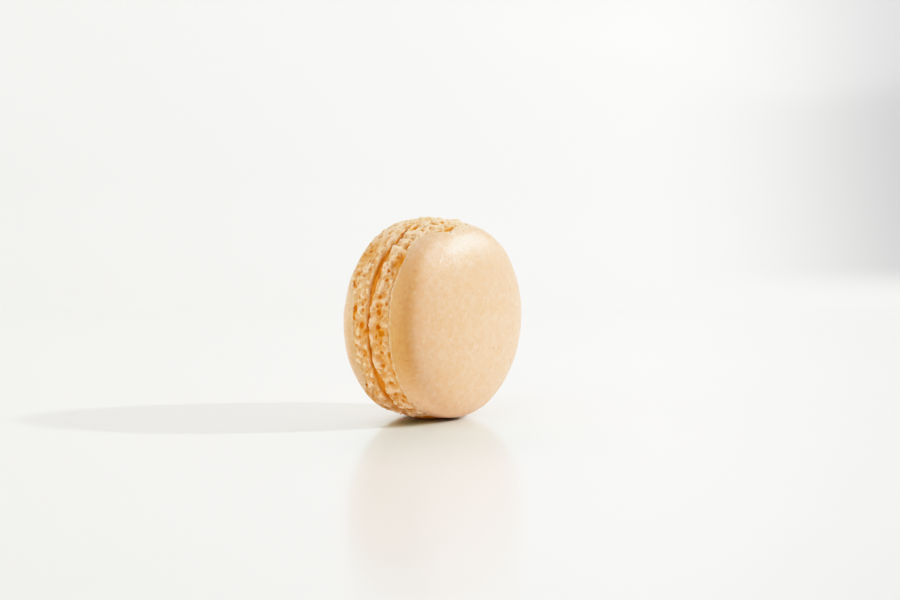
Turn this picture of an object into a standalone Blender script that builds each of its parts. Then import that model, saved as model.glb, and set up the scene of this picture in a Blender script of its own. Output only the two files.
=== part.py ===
"""A macaron that stands on its edge, as one reusable part.

Two domed almond shells, each with a smooth crust and a ruffled, pitted foot, press a thin disc of
filling between them. Metres, +Z up. The cookie's axis runs along Y, the fuller shell faces -Y, and
the origin is on the table under the middle of the cookie.

Round the axis, an angle of 0 points to +X and 90 degrees points up. Along the axis, "out" is the
distance from the seam's middle plane towards a shell's own dome. Across a foot, 0 is the crust's edge
and 1 is the lip beside the seam.
"""

import math
import random

import bmesh
import bpy
from mathutils import Matrix, Vector, noise

MM = 0.001

# The whole cookie
CRUST_RADIUS = 22.5 * MM
AXIS_HEIGHT = 22.9 * MM
RIM_OUT = 5.3 * MM
SEAM_Y = 0.9 * MM

# Domes: (radius / CRUST_RADIUS) ** ROUND + (height / dome height) ** FLAT = 1
FRONT_DOME_HEIGHT = 9.6 * MM
BACK_DOME_HEIGHT = 7.4 * MM
DOME_ROUND = 2.1
DOME_FLAT = 2.9
DOME_LUMP = 0.22 * MM
DOME_LUMP_SIZE = 9.0 * MM

# The crust's edge, where it overhangs the foot
EDGE_THICKNESS = 0.4 * MM
EDGE_ROLL = 0.15 * MM
TUCK_OUT = 0.8 * MM
TUCK_DEPTH = 0.55 * MM
EDGE_WAVE = 0.3 * MM
EDGE_WAVE_SIZE = 5.0 * MM

# The foot
LIP_FLARE = 0.75 * MM
FLARE_CURVE = 1.3
LIP_GAP = 0.3 * MM
LIP_CURL = 0.35 * MM
LIP_OPENING = 0.45 * MM
LIP_OPENING_SIZE = 7.0 * MM
SEAM_WANDER = 0.35 * MM
SEAM_WANDER_SIZE = 11.0 * MM
SEAM_SHIFT = Vector((0.5, 0.5, 0.5))

# Where the back foot draws back and the seam gapes: (angle, half spread, opening)
SEAM_GAPES = (
    (math.radians(149), math.radians(20), 0.75 * MM),
    (math.radians(217), math.radians(22), 0.85 * MM),
)
FOOT_BELLY = 0.2 * MM
RUFFLE = 0.75 * MM
RUFFLE_AT_CRUST = 0.35
RUFFLE_SIZE = 2.6 * MM
PUCKER = 0.5 * MM
PUCKER_SIZE = 1.5 * MM

# Bubbles that broke open in the foot, at random except on the -X side between these angles
PITS_PER_FOOT = 64
PIT_ROWS = (0.34, 0.6, 0.82)
PIT_SCATTER = 0.1
PIT_STEP_SCATTER = 0.4
PIT_BOWL = 1.5
PIT_RADIUS = (0.8 * MM, 1.35 * MM)
PIT_DEPTH = (0.45 * MM, 0.85 * MM)
PLACED_FROM = math.radians(118)
PLACED_TO = math.radians(226)

# Pits and long hollows of the -X side: (angle, across, half length, half width, depth)
FRONT_PITS = (
    (math.radians(139), 0.27, 3.0 * MM, 1.1 * MM, 0.9 * MM),
    (math.radians(151), 0.14, 2.2 * MM, 0.8 * MM, 0.6 * MM),
    (math.radians(163), 0.56, 0.9 * MM, 0.9 * MM, 0.5 * MM),
    (math.radians(172), 0.46, 1.1 * MM, 1.0 * MM, 0.7 * MM),
    (math.radians(181), 0.6, 1.0 * MM, 0.9 * MM, 0.6 * MM),
    (math.radians(188), 0.4, 1.0 * MM, 0.8 * MM, 0.6 * MM),
    (math.radians(204), 0.65, 0.9 * MM, 0.9 * MM, 0.5 * MM),
    (math.radians(216), 0.5, 0.9 * MM, 0.9 * MM, 0.5 * MM),
)
BACK_PITS = (
    (math.radians(125), 0.42, 2.6 * MM, 1.2 * MM, 0.8 * MM),
    (math.radians(173), 0.11, 2.1 * MM, 0.8 * MM, 0.6 * MM),
    (math.radians(180), 0.62, 0.9 * MM, 0.9 * MM, 0.5 * MM),
    (math.radians(197), 0.8, 0.9 * MM, 0.9 * MM, 0.5 * MM),
    (math.radians(215), 0.36, 0.9 * MM, 0.9 * MM, 0.5 * MM),
)

# Stretches where the crust flaked off its foot: (angle, half spread), how far up the dome, how deep
FRONT_FLAKES = ((math.radians(98), math.radians(25)),)
FRONT_FLAKE_REACH = 4.2 * MM
FRONT_FLAKE_DEPTH = 0.45 * MM
BACK_FLAKES = (
    (math.radians(128), math.radians(46)),
    (math.radians(228), math.radians(42)),
)
BACK_FLAKE_REACH = 2.4 * MM
BACK_FLAKE_DEPTH = 0.1 * MM
FLAKE_END_STEEPNESS = 1.5
FLAKE_TOP_STEEPNESS = 2.0
FLAKE_CRAG = 0.8 * MM
FLAKE_CRAG_SIZE = 1.7 * MM

# Where the foot is pressed on the table, its relief fades out
TABLE_ANGLE = math.radians(270)
TABLE_HALF_SPREAD = math.radians(15)
TABLE_FADE = math.radians(9)

# The filling and the flat faces of the shells that hold it
FACE_OUT = 1.2 * MM
FACE_RADIUS = 21.9 * MM
FILLING_HALF = 0.9 * MM
FILLING_RADIUS = 21.4 * MM
FILLING_ROUNDING = 0.3 * MM
FILLING_WAVE = 0.5 * MM
FILLING_WAVE_SIZE = 6.0 * MM

# Mesh: points round the foot, and round the dome as it closes
FOOT_POINTS = 144
FILLING_POINTS = 90
FOOT_ROWS = (0.2, 0.31, 0.42, 0.53, 0.64, 0.75, 0.85, 0.94)
DOME_RINGS = (
    (1.5, FOOT_POINTS),
    (7.0, FOOT_POINTS),
    (17.5, FOOT_POINTS),
    (28.0, FOOT_POINTS // 2),
    (39.0, FOOT_POINTS // 2),
    (50.0, FOOT_POINTS // 2),
    (61.0, FOOT_POINTS // 2),
    (72.0, FOOT_POINTS // 4),
    (82.0, FOOT_POINTS // 8),
)

# Sharp edges are steeper than this
SHARP_ANGLE = math.radians(60)

# Each shell draws its own noise this far apart, for each step of its seed
SEED_STEP = Vector((7.3, 3.1, 5.7))
FRONT_SEED = 3
BACK_SEED = 8

# Colour, roughness
CRUST_FINISH = ((0.86, 0.62, 0.36, 1.0), 0.5)
FILLING_FINISH = ((0.72, 0.28, 0.04, 1.0), 0.4)


class Shell:
    """One shell's own sizes, and the forms that differ from the other shell's."""

    def __init__(self, name, side, dome_height, seed, pits, flakes, flake_reach, flake_depth, gapes):
        self.name = name
        self.side = side
        self.dome_height = dome_height
        self.shift = seed * SEED_STEP
        self.pits = random_pits(seed) + list(pits)
        self.flakes = flakes
        self.flake_reach = flake_reach
        self.flake_depth = flake_depth
        self.gapes = gapes


def random_pits(seed):
    """Round pits, as (angle, across, half length, half width, depth), one in each of equal steps.

    The -X side, where pits have places of their own, is left free.
    """
    draw = random.Random(seed)
    step = 2 * math.pi / PITS_PER_FOOT
    pits = []
    for k in range(PITS_PER_FOOT):
        angle = (k + draw.uniform(-PIT_STEP_SCATTER, PIT_STEP_SCATTER)) * step
        across = PIT_ROWS[k % len(PIT_ROWS)] + draw.uniform(-PIT_SCATTER, PIT_SCATTER)
        size = draw.random()
        radius = PIT_RADIUS[0] + size * (PIT_RADIUS[1] - PIT_RADIUS[0])
        depth = PIT_DEPTH[0] + size * (PIT_DEPTH[1] - PIT_DEPTH[0])
        if not PLACED_FROM < angle < PLACED_TO:
            pits.append((angle, across, radius, radius, depth))
    return pits


def clear_scene():
    for old in list(bpy.data.objects):
        bpy.data.objects.remove(old, do_unlink=True)


def finish(name, colour_and_roughness):
    """A Principled material of one colour and roughness."""
    colour, roughness = colour_and_roughness
    material = bpy.data.materials.new(name)
    material.use_nodes = True
    shader = material.node_tree.nodes["Principled BSDF"]
    shader.inputs["Base Color"].default_value = colour
    shader.inputs["Roughness"].default_value = roughness
    shader.inputs["Metallic"].default_value = 0.0
    return material


def angle_between(a, b):
    """The smaller angle between two directions round the axis."""
    return abs((a - b + math.pi) % (2 * math.pi) - math.pi)


def smooth_step(x):
    x = min(max(x, 0.0), 1.0)
    return x * x * (3 - 2 * x)


def around(angle, radius, out=0.0):
    """A point of the cookie as the noise below reads it: axis along the third coordinate."""
    return Vector((radius * math.cos(angle), radius * math.sin(angle), out))


def lumps(point, size, shift):
    """Smooth unevenness from -1 to 1, with bumps of about this size."""
    return noise.noise(point / size + shift)


def relief_share(angle):
    """0 where the foot is pressed on the table, 1 all round the rest."""
    away = angle_between(angle, TABLE_ANGLE) - TABLE_HALF_SPREAD
    return smooth_step(away / TABLE_FADE)


def flake_share(shell, angle):
    """1 in the middle of a stretch with no crust, 0 past its ends."""
    return max(
        smooth_step(FLAKE_END_STEEPNESS * (1 - angle_between(angle, middle) / half_spread))
        for middle, half_spread in shell.flakes
    )


def rim_out(shell, angle):
    """How far out from the seam the crust's edge lies."""
    return RIM_OUT + EDGE_WAVE * lumps(around(angle, CRUST_RADIUS), EDGE_WAVE_SIZE, shell.shift)


def lip_out(shell, angle):
    """How far out the lip beside the seam lies. Both lips follow one wandering seam."""
    here = around(angle, CRUST_RADIUS)
    wander = shell.side * SEAM_WANDER * lumps(here, SEAM_WANDER_SIZE, SEAM_SHIFT)
    opening = LIP_OPENING * max(lumps(here, LIP_OPENING_SIZE, shell.shift), 0.0)
    for middle, half_spread, gape in shell.gapes:
        opening += gape * smooth_step(1 - angle_between(angle, middle) / half_spread)
    return LIP_GAP + opening + wander


def pit_depth(shell, angle, across):
    """How far the pits and hollows go in at this place of the foot."""
    band = RIM_OUT - LIP_GAP
    deepest = 0.0
    for pit_angle, pit_across, half_length, half_width, depth in shell.pits:
        along = angle_between(angle, pit_angle) * CRUST_RADIUS / half_length
        if along > 1:
            continue
        apart = math.hypot(along, (across - pit_across) * band / half_width)
        if apart < 1:
            deepest = max(deepest, depth * (1 - apart * apart) ** PIT_BOWL)
    return deepest


def foot_point(shell, angle, across):
    """(out, radius) of the foot's ruffled band."""
    start = rim_out(shell, angle)
    out = start + (lip_out(shell, angle) - start) * across
    flare = LIP_FLARE * across**FLARE_CURVE
    radius = CRUST_RADIUS + flare + FOOT_BELLY * math.sin(math.pi * across)
    here = around(angle, radius, shell.side * out)
    growth = RUFFLE_AT_CRUST + (1 - RUFFLE_AT_CRUST) * across
    ruffle = RUFFLE * growth * lumps(here, RUFFLE_SIZE, shell.shift)
    pucker = PUCKER * lumps(here, PUCKER_SIZE, shell.shift)
    relief = ruffle + pucker - pit_depth(shell, angle, across)
    return out, radius + relief * relief_share(angle)


def dome_point(shell, angle, climb):
    """(out, radius) of the crust, at a climb of 0 on its edge and 90 degrees on the dome's top."""
    radius = CRUST_RADIUS * math.cos(climb) ** (2 / DOME_ROUND)
    height = shell.dome_height * math.sin(climb) ** (2 / DOME_FLAT)
    start = rim_out(shell, angle)
    out = start + height * (1 + (RIM_OUT - start) / shell.dome_height)
    here = around(angle, radius, shell.side * out)
    swell = DOME_LUMP * lumps(here, DOME_LUMP_SIZE, shell.shift) * math.cos(climb)
    below = FLAKE_TOP_STEEPNESS * (1 - height / shell.flake_reach)
    bare = flake_share(shell, angle) * smooth_step(below)
    crag = FLAKE_CRAG * lumps(here, FLAKE_CRAG_SIZE, shell.shift) - shell.flake_depth
    return out, radius + swell * relief_share(angle) + crag * bare


def crust_edge_points(shell, angle):
    """(out, radius) of the crust's edge, from its top, round its thickness and into the tuck below it."""
    out, radius = dome_point(shell, angle, 0.0)
    keep = 1 - flake_share(shell, angle)
    tuck = TUCK_DEPTH * keep * relief_share(angle)
    return (
        (out, radius),
        (out - EDGE_THICKNESS, radius - EDGE_ROLL * keep),
        (out - TUCK_OUT, radius - tuck),
    )


def lip_points(shell, angle):
    """(out, radius) of the lip's tip, its inner side and the edge of the flat face behind it."""
    out, radius = foot_point(shell, angle, 1.0)
    return (
        (out, radius - LIP_CURL),
        ((out + FACE_OUT) / 2, (radius - LIP_CURL + FACE_RADIUS) / 2),
        (FACE_OUT, FACE_RADIUS),
    )


def shell_sections(shell):
    """The shell's rings from its flat face, over foot and crust, to near the dome's top.

    Each is the number of points round it and the function that gives (out, radius) for an angle.
    """
    sections = []
    for k in reversed(range(3)):
        sections.append((FOOT_POINTS, lambda angle, k=k: lip_points(shell, angle)[k]))
    for across in reversed(FOOT_ROWS):
        sections.append((FOOT_POINTS, lambda angle, a=across: foot_point(shell, angle, a)))
    for k in reversed(range(3)):
        sections.append((FOOT_POINTS, lambda angle, k=k: crust_edge_points(shell, angle)[k]))
    for climb, points in DOME_RINGS:
        sections.append(
            (points, lambda angle, c=math.radians(climb): dome_point(shell, angle, c))
        )
    return sections


def place(side, angle, out, radius):
    """The point in the part's frame, pressed flat where it would go into the table."""
    height = AXIS_HEIGHT + radius * math.sin(angle)
    return Vector((radius * math.cos(angle), SEAM_Y + side * out, max(height, 0.0)))


def add_ring(bm, side, points, section):
    """A closed ring of edges round the axis, moved to the section's place at each angle."""
    upright = Matrix.Rotation(math.radians(90), 4, "X")
    ring = bmesh.ops.create_circle(bm, cap_ends=False, segments=points, radius=1.0, matrix=upright)
    for vertex in ring["verts"]:
        angle = math.atan2(vertex.co.z, vertex.co.x)
        vertex.co = place(side, angle, *section(angle))
    return list({edge for vertex in ring["verts"] for edge in vertex.link_edges})


def skin_rings(bm, rings):
    """Bridges each ring to the next and closes the first with a flat face."""
    for near, far in zip(rings, rings[1:]):
        bmesh.ops.bridge_loops(bm, edges=near + far)
    bmesh.ops.edgeloop_fill(bm, edges=rings[0])


def to_object(bm, name, material):
    bmesh.ops.triangulate(bm, faces=bm.faces[:], quad_method="SHORT_EDGE")
    bmesh.ops.recalc_face_normals(bm, faces=bm.faces[:])
    mesh = bpy.data.meshes.new(name)
    bm.to_mesh(mesh)
    bm.free()
    mesh.shade_smooth()
    mesh.set_sharp_from_angle(angle=SHARP_ANGLE)
    mesh.materials.append(material)
    piece = bpy.data.objects.new(name, mesh)
    bpy.context.scene.collection.objects.link(piece)
    return piece


def make_shell(shell, material):
    bm = bmesh.new()
    rings = [add_ring(bm, shell.side, *section) for section in shell_sections(shell)]
    skin_rings(bm, rings)
    top = place(shell.side, 0.0, RIM_OUT + shell.dome_height, 0.0)
    cap = bmesh.ops.edgeloop_fill(bm, edges=rings[-1])
    poked = bmesh.ops.poke(bm, faces=cap["faces"])
    poked["verts"][0].co = top
    return to_object(bm, shell.name, material)


def make_filling(material):
    """The disc between the shells, its rim a little uneven and rounded over."""
    bm = bmesh.new()

    def section(out, inset):
        def at(angle):
            wave = FILLING_WAVE * lumps(around(angle, FILLING_RADIUS), FILLING_WAVE_SIZE, Vector())
            return out, FILLING_RADIUS - inset + wave

        return at

    shoulder = FILLING_HALF - FILLING_ROUNDING
    outline = (
        (-FILLING_HALF, FILLING_ROUNDING),
        (-shoulder, 0.0),
        (shoulder, 0.0),
        (FILLING_HALF, FILLING_ROUNDING),
    )
    rings = [add_ring(bm, 1, FILLING_POINTS, section(out, inset)) for out, inset in outline]
    skin_rings(bm, rings)
    bmesh.ops.edgeloop_fill(bm, edges=rings[-1])
    return to_object(bm, "filling", material)


def main():
    clear_scene()
    front = Shell(
        "front_shell",
        side=-1,
        dome_height=FRONT_DOME_HEIGHT,
        seed=FRONT_SEED,
        pits=FRONT_PITS,
        flakes=FRONT_FLAKES,
        flake_reach=FRONT_FLAKE_REACH,
        flake_depth=FRONT_FLAKE_DEPTH,
        gapes=(),
    )
    back = Shell(
        "back_shell",
        side=1,
        dome_height=BACK_DOME_HEIGHT,
        seed=BACK_SEED,
        pits=BACK_PITS,
        flakes=BACK_FLAKES,
        flake_reach=BACK_FLAKE_REACH,
        flake_depth=BACK_FLAKE_DEPTH,
        gapes=SEAM_GAPES,
    )
    make_shell(front, finish("front_shell", CRUST_FINISH))
    make_filling(finish("filling", FILLING_FINISH))
    make_shell(back, finish("back_shell", CRUST_FINISH))


main()
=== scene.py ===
"""The looks of a macaron that stands on its edge: smooth almond crust, crumbly pitted feet, filling.

Metres, +Z up. The cookie's axis runs along Y and the fuller shell faces -Y. Round the axis, an angle
of 0 points to +X and 90 degrees points up. "Out" is the distance from the seam's middle plane towards
a shell's own dome. Across a foot, 0 is the crust's edge and 1 is the lip beside the seam; below 0 the
crumb runs on under the crust.
"""

import random
from math import cos, exp, pi, radians, sin

import bpy
import numpy as np
from mathutils import Euler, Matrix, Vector, noise


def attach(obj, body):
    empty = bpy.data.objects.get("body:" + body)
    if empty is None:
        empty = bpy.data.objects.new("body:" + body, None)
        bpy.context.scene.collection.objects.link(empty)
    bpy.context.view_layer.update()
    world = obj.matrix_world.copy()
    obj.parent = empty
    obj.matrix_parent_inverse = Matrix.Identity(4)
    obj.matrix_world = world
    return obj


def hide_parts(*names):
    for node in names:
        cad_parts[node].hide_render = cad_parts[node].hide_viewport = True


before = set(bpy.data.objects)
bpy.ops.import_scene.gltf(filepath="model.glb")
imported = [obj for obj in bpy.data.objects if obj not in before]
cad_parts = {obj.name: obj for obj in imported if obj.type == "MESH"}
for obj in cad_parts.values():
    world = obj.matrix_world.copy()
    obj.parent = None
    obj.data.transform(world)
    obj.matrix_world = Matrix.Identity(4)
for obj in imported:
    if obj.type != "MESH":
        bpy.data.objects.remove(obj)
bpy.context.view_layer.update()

MM = 0.001
TURN = 2 * pi

# The whole cookie, as the solids have it
CRUST_RADIUS = 22.5 * MM
AXIS_HEIGHT = 22.9 * MM
RIM_OUT = 5.3 * MM
SEAM_Y = 0.9 * MM

# Domes: (radius / CRUST_RADIUS) ** ROUND + (height / dome height) ** FLAT = 1
DOME_ROUND = 2.1
DOME_FLAT = 2.9
DOME_SAMPLES = 4001
DOME_SLOPE_STEP = 0.02 * MM

# Layers of unevenness: (how high, how wide its bumps are, what keeps its noise apart)
DOME_LUMP = (0.22 * MM, 9 * MM, 0)
PEEL = (0.02 * MM, 1.3 * MM, 7)
PIMPLE = (0.012 * MM, 0.5 * MM, 9)
EDGE_WAVE = (0.3 * MM, 5 * MM, 0)
CHIP = (0.3 * MM, 0.9 * MM, 3)
FINE_CHIP = (0.18 * MM, 0.405 * MM, 4)
SEAM_WANDER = (0.35 * MM, 11 * MM, 0.5)
RUFFLE = (0.75 * MM, 2.6 * MM, 0)
PUCKER = (0.5 * MM, 1.5 * MM, 0)
CRUMB = (0.19 * MM, 0.9 * MM, 31)
GRAIN = (0.19 * MM, 0.42 * MM, 37)
FILLING_WAVE = (0.35 * MM, 4 * MM, (2, 4, 6))
FILLING_RIPPLE = (0.2 * MM, 0.8 * MM, (1, 3, 5))

# How the crumb spreads round the axis, out and up
SPREAD = ((0.14 * MM, 0.9 * MM, 41), (0.14 * MM, 0.9 * MM, 43), (0.07 * MM, 0.9 * MM, 47))

# The same for patches: (share, how wide, what keeps them apart)
TUCK_OPENING = (2.2, 2.2 * MM, 5)
LIP_OPENING = (1.0, 7 * MM, 0)
PALE_PATCHES = (1.2, 0.9 * MM, 13)
RAGGED = ((0.2, 0.8 * MM, 11), (0.2, 0.8 * MM, 23))

# What keeps the noises of the two shells apart
SEED_STEP = np.array((7.3, 3.1, 5.7))

# The crust's edge: how it rolls in and lifts, how pale its rim is as a painted highlight, how its chips
# grow on a flake
EDGE_ROLL = 0.1 * MM
EDGE_LIFT_WIDTH = 0.6 * MM
EDGE_HIGHLIGHT_WIDTH = 0.5 * MM
EDGE_HIGHLIGHT_STRENGTH = 0.6
FLAKE_CHIPPING = 2.0

# The crust's inner side, which nobody sees: how far up it ends, and how deep in thicknesses
INNER_SIDE_RUN = 1.5 * MM
INNER_SIDE_DEPTH = 1.1

# The tuck under the edge, which opens in places: how fast it sinks, and how its relief fades
TUCK_FALL = 2.5
TUCK_RELIEF = 0.8
TUCK_RELIEF_FADE = 1.2

# The foot's main form: how its lip flares, how its side bellies, how ruffles and puckers start
LIP_FLARE = 0.75 * MM
FLARE_CURVE = 1.3
LIP_GAP = 0.3 * MM
LIP_SIDEWAYS = 0.25
FOOT_BELLY = 0.2 * MM
RUFFLE_AT_CRUST = 0.2
PUCKER_AT_CRUST = 0.3
PUCKER_FROM = -0.02
PUCKER_WIDTH = 0.4

# The flat face behind the lip, where its rows count as across the foot, and its share of relief
FACE_OUT = 1.2 * MM
FACE_RADIUS = 21.9 * MM
FACE_LEAST_RISE = 0.1 * MM
FACE_ACROSS = 1.2
FACE_ACROSS_RUN = 0.15
LIP_RELIEF = 0.7

# How long the band from the crust's edge to the lip is, and how far before the tuck it ends
BAND = RIM_OUT - LIP_GAP
BAND_END = 0.03

# Where the seam gapes, or closes where the numbers are below 0: (angle, half spread in degrees, how
# far the front and the back foot draw back in mm)
SEAM_GAPES = ((119, 15, -0.12, -0.15), (147, 22, 0.45, 0.35), (217, 26, 1.0, 0.25))

# Where the seam runs nearer to the front: (angle, half spread in degrees, how far in mm)
SEAM_BENDS = ((123, 17, 0.9),)

# Bubbles that broke open in the foot: the solids' large ones, and how deep they are here
PITS_PER_FOOT = 64
PIT_ROWS = (0.34, 0.6, 0.82)
PIT_SCATTER = 0.1
PIT_STEP_SCATTER = 0.4
PIT_RADIUS = (0.8 * MM, 1.35 * MM)
PIT_DEPTH = (0.45 * MM, 0.85 * MM)
LARGE_PIT_SHARE = 0.55

# Where the crust flaked off: how abruptly this ends, how much calmer the crumb is there and up to
# where across the foot, and how gently it sinks under the crust again
FLAKE_END_STEEPNESS = 1.5
FLAKE_CALM = 0.55
FLAKE_CALM_ACROSS = 0.5
FLAKE_SINK = 0.8 * MM
FLAKE_START = 0.08

# Where the foot is pressed on the table, its relief fades out
TABLE_ANGLE = radians(270)
TABLE_HALF_SPREAD = radians(15)
TABLE_FADE = radians(9)

# The side that shows: its middle, and where the large pits leave room for pits of its own
SHOWN_ANGLE = radians(177)
SHOWN_FROM = radians(118)
SHOWN_TO = radians(252)

# Small pits (how many, least and largest radius), how they vary, and how they lie across the foot
POCKS = (110, 0.22 * MM, 0.5 * MM)
PORES = (650, 0.1 * MM, 0.2 * MM)
FINE_PIT_VARIETY = (0.8, 1.3)
FINE_PIT_ACROSS = 0.5
FINE_PIT_SCATTER = 0.24
FINE_PIT_LEAST_ACROSS = 0.04

# The form of every pit: its wall, how far it reaches, and the brim round it
PIT_WALL = 1.2
PIT_REACH = 1.6
PIT_BRIM = 0.16
BRIM_MIDDLE = 1.15
BRIM_WIDTH = 0.2
BRIM_LEAST_DEPTH = 0.02 * MM

# The crumb is dry and pale round this angle, and moister, so more orange, elsewhere
DRY_ANGLE = radians(95)
DRY_SPREAD = radians(50)
MOIST_LEAST = 0.28
MOIST_ALL_OVER = 0.13
# More orange down where the foot meets the table, partly painted shade
TABLE_STAIN_AND_SHADE = 0.65

# It is drier again this far away from the side that shows
FAR_DRYNESS = 0.55
FAR_FROM = radians(40)
FAR_FADE = radians(45)

# How orange pits, the crumb round them, other hollows and the seam are, partly painted shade, and how deep
# they are then
PIT_STAIN_AND_SHADE = 0.9
PIT_SHADE_DEPTH = 0.35 * MM
HALO_STAIN_AND_SHADE = 0.5
HALO_SHADE_DEPTH = 0.2 * MM
HOLLOW_STAIN_AND_SHADE = 0.5
HOLLOW_SHADE_DEPTH = 0.54 * MM
SEAM_SHADE_FADE = 0.8 * MM
SEAM_ACROSS = 0.72

# How high a wholly pale crest is
CREST_HEIGHT = 0.216 * MM

# How far the relief is blurred to tell these: rows and columns each way
FLOOR_BLUR = (1, 2)
HALO_BLUR = (6, 8)
HOLLOW_BLUR = (10, 10)

# Pits of the -X side, one by one: (angle in degrees, across, half length, half width, depth in mm)
FRONT_SHOWN_PITS = (
    (128.8, 0.3, 0.7, 0.5, 0.5),
    (147.5, 0.56, 0.45, 0.42, 0.4),
    (152.8, 0.48, 0.45, 0.45, 0.45),
    (163.2, 0.56, 0.6, 0.6, 0.5),
    (167.8, 0.46, 0.35, 0.3, 0.25),
    (171.5, 0.52, 0.64, 0.65, 0.6),
    (179.8, 0.56, 0.6, 0.6, 0.6),
    (183.5, 0.36, 0.65, 0.75, 0.55),
    (186.2, 0.72, 0.3, 0.3, 0.25),
    (188.8, 0.44, 0.5, 0.5, 0.35),
    (194.2, 0.44, 0.5, 0.55, 0.5),
    (195.8, 0.1, 0.85, 0.4, 0.45),
    (200.2, 0.06, 0.6, 0.25, 0.25),
    (202.5, 0.57, 0.5, 0.5, 0.5),
    (207.8, 0.1, 0.8, 0.3, 0.3),
    (213.8, 0.52, 0.55, 0.5, 0.4),
    (225.8, 0.21, 0.5, 0.45, 0.4),
    (239.5, 0.52, 0.35, 0.75, 0.5),
    (111, 0.8, 1.2, 0.5, 0.5),
    (113, 0.26, 0.5, 0.4, 0.35),
    (108, 0.06, 0.7, 0.6, 0.4),
    (96.5, 0.1, 1.3, 0.5, 0.35),
    (115.8, -0.36, 0.9, 0.65, 0.55),
    (109, -0.56, 0.6, 0.5, 0.45),
    (102, -0.7, 2.2, 0.6, 0.6),
)
BACK_SHOWN_PITS = (
    (107, 0.72, 1.0, 0.35, 0.4),
    (119.5, 0.94, 0.7, 0.6, 0.5),
    (126, 0.5, 0.7, 0.6, 0.45),
    (148.3, 0.06, 0.55, 0.3, 0.35),
    (155.8, 0.06, 0.3, 0.35, 0.3),
    (163.8, 0.32, 0.5, 0.2, 0.25),
    (167.8, 0.6, 0.35, 0.4, 0.35),
    (170.8, 0.16, 0.95, 0.6, 0.65),
    (175.8, 0.16, 0.8, 0.35, 0.5),
    (179.2, 0.7, 0.65, 0.75, 0.5),
    (183.2, 0.86, 0.45, 0.3, 0.35),
    (186.5, 0.52, 0.4, 0.45, 0.35),
    (191.5, 0.2, 0.3, 0.6, 0.3),
    (197.5, 0.9, 0.35, 0.4, 0.35),
    (210, 0.64, 0.35, 0.4, 0.35),
    (211.8, 0.02, 0.6, 0.3, 0.3),
    (214.8, 0.72, 0.4, 0.5, 0.4),
    (218.8, 0.02, 0.6, 0.5, 0.4),
    (224.5, 0.44, 0.3, 0.9, 0.35),
)

# How much calmer the fine relief is in a dent, and how much less pale its crests are
DENT_CALM = 0.4
DENT_DULL = 2.2

# Soft dents of the -X side, lumps where the depth is below 0, paler where the share is below 0; their
# orange is
# partly painted shade: (angle in degrees, across, half length, half width, depth in mm, share of orange)
FRONT_DENTS = (
    (139.5, 0.16, 1.9, 1.2, 0.55, 0.6),
    (143, 0.44, 0.7, 0.5, 0.3, 0.3),
    (150.5, 0.08, 1.8, 0.35, 0.35, 0.5),
    (182, 0.5, 5.0, 0.9, 0.08, 0.22),
    (205, 0.15, 4.0, 0.5, 0.1, 0.2),
    (247, 0.4, 4.5, 2.0, 0.0, -0.32),
)
BACK_DENTS = (
    (134, 0.05, 3.8, 2.0, 0.35, 0.3),
    (140.5, 0.4, 1.2, 0.35, -0.3, 0.0),
    (146.5, 0.2, 1.2, 0.35, -0.3, 0.0),
    (172, 0.15, 2.0, 0.5, 0.2, 0.3),
    (180, 0.7, 1.5, 0.8, 0.1, 0.3),
    (196, 0.7, 3.0, 0.6, 0.1, 0.2),
    (211, 0.3, 5.5, 1.6, 0.0, -0.15),
)

# Browning of the crust's edge, and painted shade where the side that shows faces away from the key lamp:
# strongest on that side
BROWNING_SHADE_LEAST = 0.1
BROWNING_SHADE_SPREAD = radians(40)

# A faint yellow flush of the dome round this angle, and how far up from the crust's edge
FLUSH = 0.2
FLUSH_ANGLE = radians(222)
FLUSH_SPREAD = radians(50)
FLUSH_MIDDLE = 9 * MM
FLUSH_WIDTH = 7 * MM

# Crumb under the crust: how deep it lies, and how far up the dome it is made
UNDER_CRUST = 0.85 * MM
UNDER_LENGTH = 6 * MM

# The filling, which sticks to both flat faces and reaches a little under both lips
FILLING_HALF = 1.17 * MM
FILLING_HIDDEN = 20.9 * MM
FILLING_GRIP = 0.3 * MM
FILLING_BACK_GRIP = 0.6 * MM
FILLING_CLIMB = 0.4 * MM
FILLING_CLIMB_FROM = 0.7
FILLING_RADIUS = 22.5 * MM
FILLING_BULGE = 0.3

# Meshes: points round, and rows
FOOT_POINTS = 1080
FACE_ROWS = 7
LIP_ROWS = 9
BAND_ROWS = 42
TUCK_ROWS = 6
UNDER_ROWS = 26
CRUST_POINTS = 720
CRUST_RIM_ROWS = 8
CRUST_EDGE_WALK = 8 * MM
CRUST_EDGE_ROWS = 44
CRUST_STEP = 0.2 * MM
CRUST_CROWDED = 0.6
FILLING_POINTS = 720
FILLING_ROWS = 26
COVE_ROWS = 49

# Colours laid over the crust, the crumb and the table, several of them painted light or shade: red, green,
# blue, and 1 for opaque
# Browning of the crust's edge, partly painted shade
BROWNED_SHADED_CRUST = (0.78, 0.62, 0.29, 1.0)
# Painted highlight on the crust's rim
PAINTED_RIM_HIGHLIGHT = (0.86, 0.62, 0.45, 1.0)
# Crests of the crumb, paler partly as a painted highlight; its hollows and pits, orange partly as painted
# shade
PALE_LIT_CREST = (0.95, 0.68, 0.48, 1.0)
ORANGE_SHADED_HOLLOW = (0.785, 0.385, 0.13, 1.0)
ORANGE_SHADED_PIT = (0.74, 0.29, 0.008, 1.0)
TABLE_CREAM = (0.935, 0.93, 0.89, 1.0)
TABLE_WHITE = (0.955, 0.95, 0.91, 1.0)
WALL_SHADE_COLOUR = (0.4, 0.4, 0.41, 1.0)

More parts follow.
